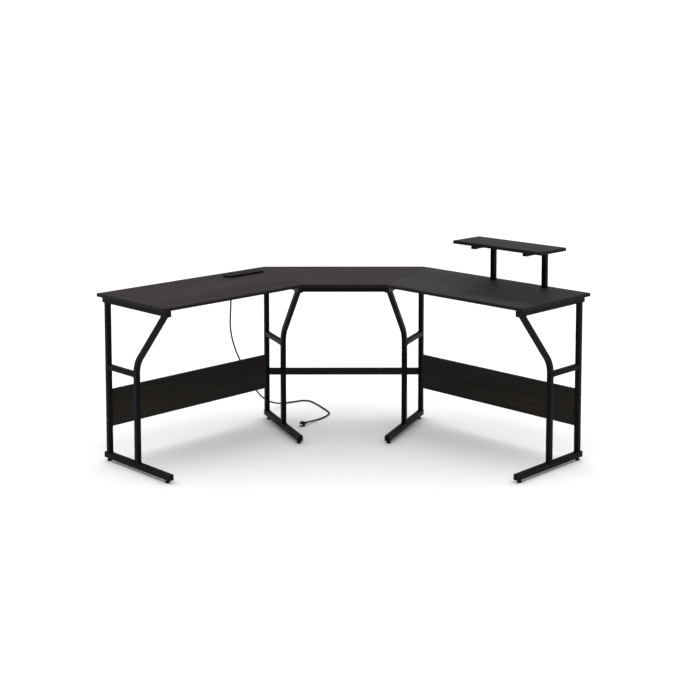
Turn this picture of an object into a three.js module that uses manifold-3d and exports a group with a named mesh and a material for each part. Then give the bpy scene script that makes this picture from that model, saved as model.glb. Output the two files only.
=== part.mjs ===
// Corner desk: two wing boards and a corner board on four steel leg frames, with modesty panels,
// a raised shelf on the right wing and a mains strip let into the left wing.
//
// Millimetres, +Z up. The origin is on the floor under the middle of the desk. +Y is the rear,
// where the corner board's straight rear edge is. The desk is mirrored about x = 0 apart from the
// shelf and the mains strip.
import * as THREE from 'three';
import { mergeVertices } from 'three/addons/utils/BufferGeometryUtils.js';
import Module from 'manifold-3d';

const wasm = await Module();
wasm.setup();

// ---------------------------------------------------------------- driving dimensions
const GAP = 0.3; // clearance kept between pieces that touch

const TOP_HEIGHT = 735; // floor to the upper face of the desk boards
const BOARD_THICKNESS = 15;
const BOARD_DEPTH = 475; // rear edge to front edge, the same on all three boards
const BOARD_EDGE_RADIUS = 1.5;
const CORNER_REAR_EDGE = 770; // length of the corner board's rear edge
const WING_REAR_EDGE = 959; // length of a wing's rear edge
const WING_ANGLE = Math.PI / 4; // how far each wing turns from the corner board
const MITRE_ANGLE = WING_ANGLE / 2; // the seams halve that angle

const TUBE = 22; // square tube of the legs and cross tubes
const TUBE_WALL = 1.2;
const TUBE_CORNER = 2;
const BAR_WIDTH = 25; // foot bars
const BAR_HEIGHT = 25;
const TOP_BAR_WIDTH = 22;
const TOP_BAR_HEIGHT = 25;
const BAR_CLEARANCE = 13; // floor to the underside of a foot bar
const CAP_PLATE = 2.5; // plate and plug of the foot bars' end caps
const CAP_PLUG = 12;
const CROSS_TUBE_HEIGHT = 416; // centre line
const BEND_HEIGHT = 462; // where the two straight centre lines of a front tube meet
const BEND_RADIUS = 110;
const BEND_ANGLE = THREE.MathUtils.degToRad(40.5); // from the vertical

// Places along a leg frame, measured forwards from the boards' rear edge (along the seam on the
// inner frames).
const OUTER_FRAME = {
  start: 16,
  footEnd: 474,
  topEnd: 474,
  rearTube: 41,
  frontTube: 245,
  rearFoot: 38,
  frontFoot: 448,
};
const INNER_FRAME = {
  start: 23,
  footEnd: 494,
  topEnd: 505,
  rearTube: 34,
  frontTube: 268,
  rearFoot: 62,
  frontFoot: 475,
};
const OUTER_FRAME_INSET = 28; // from the wing's end to the frame's middle plane

const PANEL_HEIGHT = 162;
const PANEL_BOTTOM = 151;
const PANEL_THICKNESS = 15;
const PANEL_START = 27.9; // from the seam along the wing, just clear of the inner frame's upright
const PANEL_DEPTH = 36; // rear edge of the boards to the panel's middle plane
const REAR_BAR = { bottom: 213, height: 32, thickness: 15 };
const FRONT_RAIL_SETBACK = 15; // behind the corner board's front edge

const SHELF = { inner: 355, length: 487, rear: 18, depth: 184, top: 921 };
const SHELF_POSTS = [460, 746]; // along the wing, from the seam
const SHELF_POST_DEPTH = 41;
const SHELF_ARM = { width: 20, height: 15, end: 190 };

const STRIP = {
  along: 216,
  depth: 100,
  length: 208,
  width: 50,
  corner: 4,
  rise: 10,
  drop: 30,
  wall: 2,
};
const STRIP_FACE_BASE = 3; // how far the strip's face reaches down into the board's cut-out
const STRIP_EAR = { length: 16, width: 28, thickness: 2.5, holeRadius: 2.2 }; // screwed under the board
const MODULE_PITCH = 48;
const MODULE_SIZE = { length: 36, width: 33 };

const CORD_DIAMETER = 7.5;
const RELIEF = { along: 292, depth: 98, length: 34, top: 7.5, bottom: 5 };

// Route of the mains cord from the strain relief to the plug, in the desk's own coordinates.
const CORD_ROUTE = [
  [-522, 231, 655.4],
  [-522, 232, 635],
  [-523, 242, 605],
  [-526, 260, 565],
  [-530, 283, 520],
  [-530, 303, 470],
  [-524, 323, 420],
  [-513, 345, 370],
  [-499, 367, 325],
  [-483, 390, 280],
  [-465, 419, 230],
  [-446, 453, 180],
  [-425, 494, 130],
  [-408, 524, 98],
  [-388, 556, 70],
  [-364, 594, 46],
  [-337, 643, 25],
  [-309, 691, 11],
  [-280, 725, 5],
  [-247, 746, 4],
  [-210, 765, 4],
  [-174, 755, 4],
  [-143, 708, 4],
  [-112, 645, 4],
  [-84, 580, 4],
  [-72, 535, 4],
  [-79, 503, 4],
  [-93, 473, 4],
  [-112, 444, 4],
  [-131, 418, 5.2],
  [-149, 394, 7.4],
  [-165, 373, 10],
  [-178.6, 354.45, 11],
];
const CORD_SIDES = 10;
const CORD_STEPS = 80;

// The plug lies on its side on the floor, with its cord end at x, y and its pins along `heading`.
const PLUG = {
  x: -179,
  y: 354,
  heading: Math.PI + 0.85,
  neck: 12,
  length: 32,
  width: 26,
  height: 22,
};
const BLADE = { length: 17.5, width: 6.3, thickness: 1.5, spacing: 12.7, side: -4 };
const EARTH_PIN = { length: 20, radius: 2.4, side: 7.9 };

// ---------------------------------------------------------------- materials
function finish(colour, roughness, metalness) {
  return new THREE.MeshStandardMaterial({ color: colour, roughness, metalness });
}

const LAMINATE = finish(0x3c3635, 0.55, 0);
const STEEL = finish(0x1b1b1b, 0.5, 0.6);
const BLACK_PLASTIC = finish(0x17171a, 0.6, 0);
const STRIP_PLASTIC = finish(0x202122, 0.5, 0);
const SOCKET_PLASTIC = finish(0x141415, 0.55, 0);
const CORD_RUBBER = finish(0x101011, 0.6, 0);
const PIN_METAL = finish(0xb9b09a, 0.3, 1);

// ---------------------------------------------------------------- solids
function toSolid(geometry) {
  const bare = geometry.clone();
  bare.deleteAttribute('normal');
  bare.deleteAttribute('uv');
  const merged = mergeVertices(bare, 1e-4);
  return new wasm.Manifold(
    new wasm.Mesh({
      numProp: 3,
      vertProperties: new Float32Array(merged.attributes.position.array),
      triVerts: new Uint32Array(merged.index.array),
    }),
  );
}

function toGeometry(solid) {
  const mesh = solid.getMesh();
  const geometry = new THREE.BufferGeometry();
  geometry.setAttribute('position', new THREE.BufferAttribute(mesh.vertProperties, 3));
  geometry.setIndex(new THREE.BufferAttribute(mesh.triVerts, 1));
  const faceted = geometry.toNonIndexed();
  faceted.computeVertexNormals();
  return faceted;
}

function cut(geometry, ...tools) {
  let solid = toSolid(geometry);
  for (const tool of tools) {
    solid = solid.subtract(toSolid(tool));
  }
  return toGeometry(solid);
}

function box(sizeX, sizeY, sizeZ, x, y, z) {
  return new THREE.BoxGeometry(sizeX, sizeY, sizeZ).translate(x, y, z);
}

function rectangle(sizeX, sizeY, radius, target = new THREE.Shape()) {
  const x = sizeX / 2;
  const y = sizeY / 2;
  const corners = [
    [x, -y, -1, 1, -Math.PI / 2],
    [x, y, -1, -1, 0],
    [-x, y, 1, -1, Math.PI / 2],
    [-x, -y, 1, 1, Math.PI],
  ];
  if (radius === 0) {
    target.setFromPoints(corners.map(([px, py]) => new THREE.Vector2(px, py)));
    return target;
  }
  for (const [px, py, inX, inY, start] of corners) {
    target.absarc(px + inX * radius, py + inY * radius, radius, start, start + Math.PI / 2, false);
  }
  return target;
}

function tubeSection(sizeX, sizeY) {
  const section = rectangle(sizeX, sizeY, TUBE_CORNER);
  section.holes.push(rectangle(sizeX - 2 * TUBE_WALL, sizeY - 2 * TUBE_WALL, 0, new THREE.Path()));
  return section;
}

// A straight tube from `start` to `end` along one axis, centred on the other two.
function tube(axis, start, end, sizeA, sizeB) {
  const options = { depth: end - start, bevelEnabled: false, curveSegments: 1 };
  const geometry = new THREE.ExtrudeGeometry(tubeSection(sizeA, sizeB), options);
  geometry.translate(0, 0, start);
  if (axis === 'x') {
    geometry.rotateY(Math.PI / 2);
  }
  return geometry;
}

// A board or plate: an outline with softened edges, from z = 0 up to its thickness.
function slab(outline, thickness, radius) {
  const options = {
    depth: thickness - 2 * radius,
    bevelEnabled: true,
    bevelThickness: radius,
    bevelSize: radius,
    bevelOffset: -radius,
    bevelSegments: 2,
    curveSegments: 2,
  };
  return new THREE.ExtrudeGeometry(outline, options).translate(0, 0, radius);
}

function polygon(points) {
  return new THREE.Shape(points.map(([x, y]) => new THREE.Vector2(x, y)));
}

function lathe(profile, segments) {
  const points = profile.map(([radius, z]) => new THREE.Vector2(radius, z));
  return new THREE.LatheGeometry(points, segments).rotateX(Math.PI / 2);
}

function piece(name, geometry, material) {
  const mesh = new THREE.Mesh(geometry, material);
  mesh.name = name;
  return mesh;
}

// ---------------------------------------------------------------- places
const HALF_EXTENT_Y = ((WING_REAR_EDGE + BOARD_DEPTH) * Math.sin(WING_ANGLE)) / 2;
const BOARD_BOTTOM = TOP_HEIGHT - BOARD_THICKNESS;
const MITRE_RUN = BOARD_DEPTH * Math.tan(MITRE_ANGLE); // how far a seam leans over the boards' depth
const BAR_TOP = BAR_CLEARANCE + BAR_HEIGHT;
const TOP_BAR_BOTTOM = BOARD_BOTTOM - TOP_BAR_HEIGHT;

// side is -1 for the left wing and 1 for the right.
const SIDES = [
  { name: 'left', side: -1 },
  { name: 'right', side: 1 },
];

// A group at a rear corner whose +X runs outwards along the wing's rear edge. Forwards is
// local +Y on the left wing and local -Y on the right, which is -side * Y.
function wingGroup(side) {
  const group = new THREE.Group();
  group.position.set((side * CORNER_REAR_EDGE) / 2, HALF_EXTENT_Y, 0);
  group.rotation.z = side < 0 ? WING_ANGLE - Math.PI : -WING_ANGLE;
  return group;
}

// ---------------------------------------------------------------- desk boards
function cornerBoard() {
  const rear = CORNER_REAR_EDGE / 2 - GAP / 2;
  const front = rear - MITRE_RUN;
  const outline = polygon([
    [-rear, 0],
    [-front, -BOARD_DEPTH],
    [front, -BOARD_DEPTH],
    [rear, 0],
  ]);
  const board = piece('corner_top', slab(outline, BOARD_THICKNESS, BOARD_EDGE_RADIUS), LAMINATE);
  board.position.set(0, HALF_EXTENT_Y, BOARD_BOTTOM);
  return board;
}

function wingBoard(name, side, cutOut) {
  const forward = -side * BOARD_DEPTH;
  const outline = polygon([
    [GAP / 2, 0],
    [WING_REAR_EDGE, 0],
    [WING_REAR_EDGE, forward],
    [GAP / 2 + MITRE_RUN, forward],
  ]);
  let geometry = slab(outline, BOARD_THICKNESS, BOARD_EDGE_RADIUS);
  if (cutOut) {
    geometry = cut(geometry, cutOut);
  }
  const board = piece(name, geometry, LAMINATE);
  board.position.z = BOARD_BOTTOM;
  return board;
}

// ---------------------------------------------------------------- leg frames
// The centre line of a front tube: upright, round the bend, then straight on to `top`.
class BentLine extends THREE.Curve {
  constructor(bottom, top) {
    super();
    const run = BEND_RADIUS * Math.tan(BEND_ANGLE / 2);
    const arcSteps = 7;
    this.stations = [[0, bottom, 0]];
    for (let i = 0; i <= arcSteps; i += 1) {
      const turned = (BEND_ANGLE * i) / arcSteps;
      const x = BEND_RADIUS * (1 - Math.cos(turned));
      const z = BEND_HEIGHT - run + BEND_RADIUS * Math.sin(turned);
      this.stations.push([x, z, turned]);
    }
    this.stations.push([(top - BEND_HEIGHT) * Math.tan(BEND_ANGLE), top, BEND_ANGLE]);
  }

  getPointAt(t, target = new THREE.Vector3()) {
    const [x, z] = this.stations[Math.round(t * (this.stations.length - 1))];
    return target.set(x, 0, z);
  }

  getTangentAt(t, target = new THREE.Vector3()) {
    const turned = this.stations[Math.round(t * (this.stations.length - 1))][2];
    return target.set(Math.sin(turned), 0, Math.cos(turned));
  }
}

function bentTube(bottom, top) {
  const beyond = 30; // the tube is made too long, then cut level with the top bar's underside
  const line = new BentLine(bottom, top + beyond);
  const options = {
    steps: line.stations.length - 1,
    extrudePath: line,
    bevelEnabled: false,
    curveSegments: 1,
  };
  const geometry = new THREE.ExtrudeGeometry(tubeSection(TUBE, TUBE), options);
  const reach = (top + beyond - BEND_HEIGHT) * 2;
  return cut(geometry, box(reach, TUBE * 2, beyond * 2, reach / 2, 0, top + beyond));
}

function levellingFoot() {
  const pad = 10;
  const collar = 6;
  const stem = 4;
  const profile = [
    [0, 0],
    [pad - 1, 0],
    [pad, 1.2],
    [pad, 6],
    [pad - 2, 7.5],
    [collar, 8],
    [collar, BAR_CLEARANCE - GAP],
    [stem, BAR_CLEARANCE - GAP],
    [stem, BAR_TOP - 7],
    [0, BAR_TOP - 7],
  ];
  return lathe(profile, 20);
}

function footBar(frame) {
  const stemClearance = 4.4;
  const holes = [frame.rearFoot, frame.frontFoot].map((x) => {
    const hole = new THREE.CylinderGeometry(stemClearance, stemClearance, 6, 20);
    return hole.rotateX(Math.PI / 2).translate(x, 0, -BAR_HEIGHT / 2);
  });
  const start = frame.start + CAP_PLATE + GAP;
  const end = frame.footEnd - CAP_PLATE - GAP;
  const bar = tube('x', start, end, BAR_HEIGHT, BAR_WIDTH);
  return cut(bar, ...holes);
}

// A push-in end cap: a plate that closes the tube, and a plug inside it. +X points out.
function endCap() {
  const plate = slab(rectangle(BAR_HEIGHT, BAR_WIDTH, TUBE_CORNER), CAP_PLATE, 0.8);
  const inside = BAR_WIDTH - 2 * TUBE_WALL - 2 * GAP;
  const plug = box(inside, inside, CAP_PLUG + 1, 0, 0, -CAP_PLUG / 2 + 0.5);
  const joined = toGeometry(toSolid(plate).add(toSolid(plug)));
  return joined.rotateY(Math.PI / 2);
}

// A leg frame in its own plane: +X forwards from the boards' rear edge, +Z up.
function legFrame(name, frame) {
  const group = new THREE.Group();
  const place = (suffix, geometry, material, x, z) => {
    const mesh = piece(`${name}_${suffix}`, geometry, material);
    mesh.position.set(x, 0, z);
    group.add(mesh);
    return mesh;
  };
  place('foot_bar', footBar(frame), STEEL, 0, BAR_CLEARANCE + BAR_HEIGHT / 2);
  const topBar = tube('x', frame.start, frame.topEnd, TOP_BAR_HEIGHT - GAP, TOP_BAR_WIDTH);
  place('top_bar', topBar, STEEL, 0, BOARD_BOTTOM - GAP - (TOP_BAR_HEIGHT - GAP) / 2);
  const legTop = TOP_BAR_BOTTOM - GAP;
  const legBottom = BAR_TOP + GAP;
  place('rear_tube', tube('z', legBottom, legTop, TUBE, TUBE), STEEL, frame.rearTube, 0);
  place('front_tube', bentTube(legBottom, legTop), STEEL, frame.frontTube, 0);
  const crossStart = frame.rearTube + TUBE / 2 + GAP;
  const crossEnd = frame.frontTube - TUBE / 2 - GAP;
  place('cross_tube', tube('x', crossStart, crossEnd, TUBE, TUBE), STEEL, 0, CROSS_TUBE_HEIGHT);
  const barMiddle = BAR_CLEARANCE + BAR_HEIGHT / 2;
  place('front_end_cap', endCap(), BLACK_PLASTIC, frame.footEnd - CAP_PLATE, barMiddle);
  const rearCap = place('rear_end_cap', endCap(), BLACK_PLASTIC, frame.start + CAP_PLATE, barMiddle);
  rearCap.rotation.z = Math.PI;
  place('rear_levelling_foot', levellingFoot(), BLACK_PLASTIC, frame.rearFoot, 0);
  place('front_levelling_foot', levellingFoot(), BLACK_PLASTIC, frame.frontFoot, 0);
  return group;
}

// ---------------------------------------------------------------- pieces that join the frames
// All that lies outwards of an inner frame, from `inward` millimetres inside its middle plane.
// It trims the ends of what spans the corner between the two inner frames.
function outsideInnerFrame(side, inward) {
  const reach = 300;
  const middle = -side * (inward - reach / 2);
  const tool = box(2 * BOARD_DEPTH, reach, 2 * TOP_HEIGHT, BOARD_DEPTH / 2, middle, TOP_HEIGHT / 2);
  tool.rotateZ(-Math.PI / 2 - side * MITRE_ANGLE);
  return tool.translate((side * CORNER_REAR_EDGE) / 2, HALF_EXTENT_Y, 0);
}

function cornerRearBar() {
  const { bottom, height, thickness } = REAR_BAR;
  const middleY = HALF_EXTENT_Y - INNER_FRAME.rearTube * Math.cos(MITRE_ANGLE);
  const bar = slab(rectangle(CORNER_REAR_EDGE, height, 0), thickness, 1);
  bar.rotateX(Math.PI / 2).translate(0, middleY + thickness / 2, bottom + height / 2);
  const trims = SIDES.map(({ side }) => outsideInnerFrame(side, TUBE / 2 + GAP));
  return piece('corner_rear_bar', cut(bar, ...trims), LAMINATE);
}

function cornerFrontRail() {
  const half = CORNER_REAR_EDGE / 2;
  const middleY = HALF_EXTENT_Y - BOARD_DEPTH + FRONT_RAIL_SETBACK + TUBE / 2;
  const rail = tube('x', -half, half, TUBE, TUBE);
  rail.translate(0, middleY, BOARD_BOTTOM - GAP - TUBE / 2);
  const trims = SIDES.map(({ side }) => outsideInnerFrame(side, TOP_BAR_WIDTH / 2 + GAP));
  return piece('corner_front_rail', cut(rail, ...trims), STEEL);
}

function modestyPanel(name, side) {
  const end = WING_REAR_EDGE - OUTER_FRAME_INSET - TUBE / 2 - GAP;
  const geometry = slab(rectangle(end - PANEL_START, PANEL_HEIGHT, 0), PANEL_THICKNESS, 1);
  geometry.rotateX(Math.PI / 2);
  const panel = piece(name, geometry, LAMINATE);
  const middleY = -side * PANEL_DEPTH + PANEL_THICKNESS / 2;
  panel.position.set((PANEL_START + end) / 2, middleY, PANEL_BOTTOM + PANEL_HEIGHT / 2);
  return panel;
}

// ---------------------------------------------------------------- shelf on the right wing
function shelf() {
  const group = new THREE.Group();
  const bottom = SHELF.top - BOARD_THICKNESS;
  const board = slab(rectangle(SHELF.length, SHELF.depth, 0), BOARD_THICKNESS, BOARD_EDGE_RADIUS);
  board.translate(SHELF.inner + SHELF.length / 2, -SHELF.rear - SHELF.depth / 2, bottom);
  group.add(piece('shelf_board', board, LAMINATE));
  const names = ['inner', 'outer'];
  SHELF_POSTS.forEach((along, i) => {
    const post = tube('z', TOP_HEIGHT + GAP, bottom - GAP, TUBE, TUBE);
    const postMesh = piece(`shelf_${names[i]}_post`, post, STEEL);
    postMesh.position.set(along, -SHELF_POST_DEPTH, 0);
    const start = SHELF_POST_DEPTH + TUBE / 2 + GAP;
    const arm = tube('x', start, SHELF_ARM.end, SHELF_ARM.height, SHELF_ARM.width);
    const armMesh = piece(`shelf_${names[i]}_arm`, arm, STEEL);
    armMesh.rotation.z = -Math.PI / 2;
    armMesh.position.set(along, 0, bottom - GAP - SHELF_ARM.height / 2);
    group.add(postMesh, armMesh);
  });
  return group;
}

// ---------------------------------------------------------------- mains strip in the left wing
function stripCutOut() {
  const clearance = 0.5;
  const { length, width, corner } = STRIP;
  const outline = rectangle(length + 2 * clearance, width + 2 * clearance, corner + clearance);
  const options = { depth: 3 * BOARD_THICKNESS, bevelEnabled: false, curveSegments: 2 };
  const tool = new THREE.ExtrudeGeometry(outline, options);
  return tool.translate(STRIP.along, STRIP.depth, -BOARD_THICKNESS);
}

function stripHousing() {
  const { length, width, corner, drop, wall } = STRIP;
  const height = BOARD_THICKNESS + drop - STRIP_FACE_BASE - GAP;
  const shell = slab(rectangle(length, width, corner), height, 0.8);
  const { length: earLength, width: earWidth, thickness, holeRadius } = STRIP_EAR;
  const ears = box(length + 2 * earLength, earWidth, thickness, 0, 0, drop - GAP - thickness / 2);
  const holes = [-1, 1].map((end) => {
    const hole = new THREE.CylinderGeometry(holeRadius, holeRadius, 4 * thickness, 16);
    return hole.rotateX(Math.PI / 2).translate((end * (length + earLength)) / 2, 0, drop - thickness);
  });
  const inside = box(length - 2 * wall, width - 2 * wall, height, 0, 0, height / 2 + wall);
  const outside = toGeometry(toSolid(shell).add(toSolid(ears)));
  return cut(outside, inside, ...holes).translate(0, 0, BOARD_BOTTOM - drop);
}

const MODULES = ['outlet_1', 'outlet_2', 'outlet_3', 'usb_module'].map((name, i) => ({
  name,
  x: (i - 1.5) * MODULE_PITCH,
}));

function stripFace() {
  const height = STRIP.rise + STRIP_FACE_BASE;
  const face = slab(rectangle(STRIP.length, STRIP.width, STRIP.corner), height, 1.5);
  const { length, width } = MODULE_SIZE;
  const windows = MODULES.map(({ x }) => box(length, width, 3 * height, x, 0, 0));
  return cut(face, ...windows).translate(0, 0, TOP_HEIGHT - STRIP_FACE_BASE);
}

// A grounded outlet: two blade slots and a round earth hole, sunk into a block.
function outletBlock(block, top) {
  const depth = 8;
  const bladeGap = 12.7;
  const slots = [-1, 1].map((end) => box(2.4, 8, 2 * depth, (end * bladeGap) / 2, 3, top));
  const earth = new THREE.CylinderGeometry(2.4, 2.4, 2 * depth, 16);
  earth.rotateX(Math.PI / 2).translate(0, -8.5, top);
  return cut(block, ...slots, earth);
}

function usbBlock(block, top) {
  const depth = 8;
  const ports = [-1, 1].map((end) => box(5.2, 13, 2 * depth, end * 8, 0, top));
  return cut(block, ...ports);
}

function stripModule(name) {
  const recess = 1; // below the face
  const height = 14;
  const top = TOP_HEIGHT + STRIP.rise - recess;
  const outline = rectangle(MODULE_SIZE.length - 2 * GAP, MODULE_SIZE.width - 2 * GAP, 0);
  const block = slab(outline, height, 0.5).translate(0, 0, top - height);
  return name === 'usb_module' ? usbBlock(block, top) : outletBlock(block, top);
}

function cordRelief() {
  const top = TOP_HEIGHT - BOARD_THICKNESS - STRIP.drop - GAP;
  const profile = [
    [0, -RELIEF.length],
    [RELIEF.bottom, -RELIEF.length],
    [RELIEF.top - 0.8, -6],
    [RELIEF.top + 1.5, -5],
    [RELIEF.top + 1.5, 0],
    [0, 0],
  ];
  return lathe(profile, 20).translate(RELIEF.along, RELIEF.depth, top);
}

function mainsStrip() {
  const group = new THREE.Group();
  const strip = new THREE.Group();
  strip.position.set(STRIP.along, STRIP.depth, 0);
  strip.add(piece('power_strip_housing', stripHousing(), STRIP_PLASTIC));
  strip.add(piece('power_strip_face', stripFace(), STRIP_PLASTIC));
  for (const { name, x } of MODULES) {
    const mesh = piece(`power_strip_${name}`, stripModule(name), SOCKET_PLASTIC);
    mesh.position.x = x;
    strip.add(mesh);
  }
  group.add(strip, piece('cord_strain_relief', cordRelief(), CORD_RUBBER));
  return group;
}

// ---------------------------------------------------------------- mains cord and plug
function powerCord() {
  const points = CORD_ROUTE.map(([x, y, z]) => new THREE.Vector3(x, y, z));
  const route = new THREE.CatmullRomCurve3(points, false, 'centripetal');
  const section = new THREE.Shape();
  section.absarc(0, 0, CORD_DIAMETER / 2, 0, Math.PI * 2, false);
  const options = {
    steps: CORD_STEPS,
    extrudePath: route,
    bevelEnabled: false,
    curveSegments: CORD_SIDES / 2,
  };
  return piece('power_cord', new THREE.ExtrudeGeometry(section, options), CORD_RUBBER);
}

// The plug in its own frame: the cord comes in from -X, the pins point along +X.
function plug() {
  const group = new THREE.Group();
  const { neck, length, width, height } = PLUG;
  const neckHalf = 5.5;
  const shoulder = 6; // length over which the neck widens to the body
  const outline = polygon([
    [0, -neckHalf],
    [neck, -neckHalf - 1],
    [neck + shoulder, -width / 2],
    [length, -width / 2],
    [length, width / 2],
    [neck + shoulder, width / 2],
    [neck, neckHalf + 1],
    [0, neckHalf],
  ]);
  const tilt = 0.4; // the top and bottom also narrow towards the cord
  const bevels = [-1, 1].map((up) => {
    const tool = box(4 * neck, 2 * width, height, -neck, 0, (up * height) / 2);
    return tool.rotateY(-up * tilt).translate(neck / 2, 0, height / 2 + up * (neckHalf + 3));
  });
  const body = cut(slab(outline, height, 3), ...bevels);
  group.add(piece('power_plug', body, CORD_RUBBER));
  const middle = height / 2;
  [-1, 1].forEach((end, i) => {
    const blade = slab(rectangle(BLADE.length, BLADE.width, 1), BLADE.thickness, 0.3);
    const z = middle + (end * BLADE.spacing) / 2 - BLADE.thickness / 2;
    blade.translate(length + GAP + BLADE.length / 2, BLADE.side, z);
    group.add(piece(`plug_blade_${i + 1}`, blade, PIN_METAL));
  });
  const { radius } = EARTH_PIN;
  const profile = [
    [0, 0],
    [radius, 0],
    [radius, EARTH_PIN.length - 3],
    [radius - 1, EARTH_PIN.length],
    [0, EARTH_PIN.length],
  ];
  const pin = lathe(profile, 16).rotateY(Math.PI / 2);
  pin.translate(length + GAP, EARTH_PIN.side, middle);
  group.add(piece('plug_earth_pin', pin, PIN_METAL));
  group.position.set(PLUG.x, PLUG.y, 0);
  group.rotation.z = PLUG.heading;
  return group;
}

// ---------------------------------------------------------------- the whole desk
const desk = new THREE.Group();
desk.add(cornerBoard(), cornerRearBar(), cornerFrontRail());
for (const { name, side } of SIDES) {
  const wing = wingGroup(side);
  wing.add(wingBoard(`${name}_top`, side, side < 0 ? stripCutOut() : null));
  wing.add(modestyPanel(`${name}_modesty_panel`, side));
  wing.add(side < 0 ? mainsStrip() : shelf());
  const outer = legFrame(`${name}_outer`, OUTER_FRAME);
  outer.position.x = WING_REAR_EDGE - OUTER_FRAME_INSET;
  outer.rotation.z = (-side * Math.PI) / 2;
  wing.add(outer);
  const inner = legFrame(`${name}_inner`, INNER_FRAME);
  inner.position.set((side * CORNER_REAR_EDGE) / 2, HALF_EXTENT_Y, 0);
  inner.rotation.z = -Math.PI / 2 - side * MITRE_ANGLE;
  desk.add(wing, inner);
}
desk.add(powerCord(), plug());
desk.updateMatrixWorld(true);

export default desk;
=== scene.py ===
"""Looks of the corner desk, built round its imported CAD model. Metres, +Z up, +Y to the rear."""
import math
import random

import bmesh
import bpy
from mathutils import Matrix, Vector


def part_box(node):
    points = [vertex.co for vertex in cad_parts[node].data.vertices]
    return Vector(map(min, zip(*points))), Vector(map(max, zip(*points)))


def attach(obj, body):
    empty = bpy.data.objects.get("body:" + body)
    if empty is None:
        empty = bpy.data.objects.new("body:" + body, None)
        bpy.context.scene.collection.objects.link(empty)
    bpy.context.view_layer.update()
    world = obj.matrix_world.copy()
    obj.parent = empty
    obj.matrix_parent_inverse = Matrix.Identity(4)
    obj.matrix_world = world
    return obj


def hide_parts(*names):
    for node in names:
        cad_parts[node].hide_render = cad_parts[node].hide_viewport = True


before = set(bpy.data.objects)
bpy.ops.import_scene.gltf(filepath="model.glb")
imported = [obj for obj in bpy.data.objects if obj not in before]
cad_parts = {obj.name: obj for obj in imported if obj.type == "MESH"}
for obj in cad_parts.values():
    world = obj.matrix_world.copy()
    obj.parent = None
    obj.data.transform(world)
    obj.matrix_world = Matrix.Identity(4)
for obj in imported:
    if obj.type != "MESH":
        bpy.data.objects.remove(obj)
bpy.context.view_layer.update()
MM = 0.001
QUARTER = math.pi / 2
X, Y, Z = Vector((1, 0, 0)), Vector((0, 1, 0)), Vector((0, 0, 1))
scene = bpy.context.scene
scene.view_settings.view_transform = "Standard"


# ------------------------------------------------------------------ camera
CAMERA_LENS, SENSOR_WIDTH = 67.146, 36  # millimetres
CAMERA_SHIFT_UP = -0.27
CAMERA_PLACE = (0.009, -5.7193, 1.7979)
CAMERA_DOWN, CAMERA_LEFT = 5.072, -0.189  # degrees from straight ahead, along +Y


def add_camera():
    data = bpy.data.cameras.new("camera")
    data.lens = CAMERA_LENS
    data.sensor_width = SENSOR_WIDTH
    data.shift_y = CAMERA_SHIFT_UP
    data.clip_end = 200
    camera = bpy.data.objects.new("camera", data)
    camera.location = CAMERA_PLACE
    camera.rotation_euler = (math.radians(90 - CAMERA_DOWN), 0, math.radians(CAMERA_LEFT))
    scene.collection.objects.link(camera)
    scene.camera = camera


add_camera()


# ------------------------------------------------------------------ material graphs
class Graph:
    """A material and short ways to add nodes to it."""

    def __init__(self, name):
        self.material = bpy.data.materials.new(name)
        self.material.use_nodes = True
        self.tree = self.material.node_tree
        self.shader = self.tree.nodes["Principled BSDF"]

    def node(self, kind, inputs=(), **settings):
        made = self.tree.nodes.new("ShaderNode" + kind)
        for key, value in settings.items():
            setattr(made, key, value)
        for key, value in dict(inputs).items():
            self.feed(made.inputs[key], value)
        return made

    def feed(self, socket, value):
        if isinstance(value, bpy.types.NodeSocket):
            self.tree.links.new(value, socket)
        else:
            socket.default_value = value

    def set(self, **values):
        for key, value in values.items():
            self.feed(self.shader.inputs[key.replace("_", " ")], value)

    def coordinates(self, scale=(1, 1, 1), shift=(0, 0, 0), turn=0.0, start=None):
        """Local coordinates, scaled to cycles to the metre along x, y and z."""
        if start is None:
            start = self.node("TexCoord").outputs["Object"]
        inputs = {"Vector": start, "Scale": scale, "Location": shift, "Rotation": (0, 0, turn)}
        return self.node("Mapping", inputs).outputs["Vector"]

    def noise(self, vector, scale=1.0, detail=3.0, roughness=0.5):
        inputs = {"Vector": vector, "Scale": scale, "Detail": detail, "Roughness": roughness}
        return self.node("TexNoise", inputs).outputs["Fac"]

    def ramp(self, value, low, high, out_low=0.0, out_high=1.0):
        inputs = {"Value": value, "From Min": low, "From Max": high, "To Min": out_low, "To Max": out_high}
        return self.node("MapRange", inputs).outputs["Result"]

    def math(self, operation, a, b=0.0):
        return self.node("Math", {0: a, 1: b}, operation=operation).outputs["Value"]

    def mix(self, factor, a, b, blend="MIX"):
        mixer = self.node("Mix", data_type="RGBA", blend_type=blend)
        for socket, value in ((mixer.inputs[0], factor), (mixer.inputs[6], a), (mixer.inputs[7], b)):
            self.feed(socket, value)
        return mixer.outputs[2]

    def wear(self):
        """The share of wear that the mesh gives at each point."""
        return self.node("Attribute", attribute_name="wear").outputs["Fac"]

    def bump(self, height, distance, strength):
        inputs = {"Height": height, "Distance": distance, "Strength": strength}
        return self.node("Bump", inputs).outputs["Normal"]


def rgb(*levels):
    """A colour from 8-bit sRGB numbers."""
    linear = [c / 255 / 12.92 if c <= 10 else ((c / 255 + 0.055) / 1.055) ** 2.4 for c in levels]
    return (*linear, 1.0)


def scaled(colour, factor, lift=0.0):
    """A colour made darker or lighter by a factor, and raised by `lift`."""
    return [min(1.0, c * factor + lift) for c in colour[:3]] + [1.0]


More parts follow.
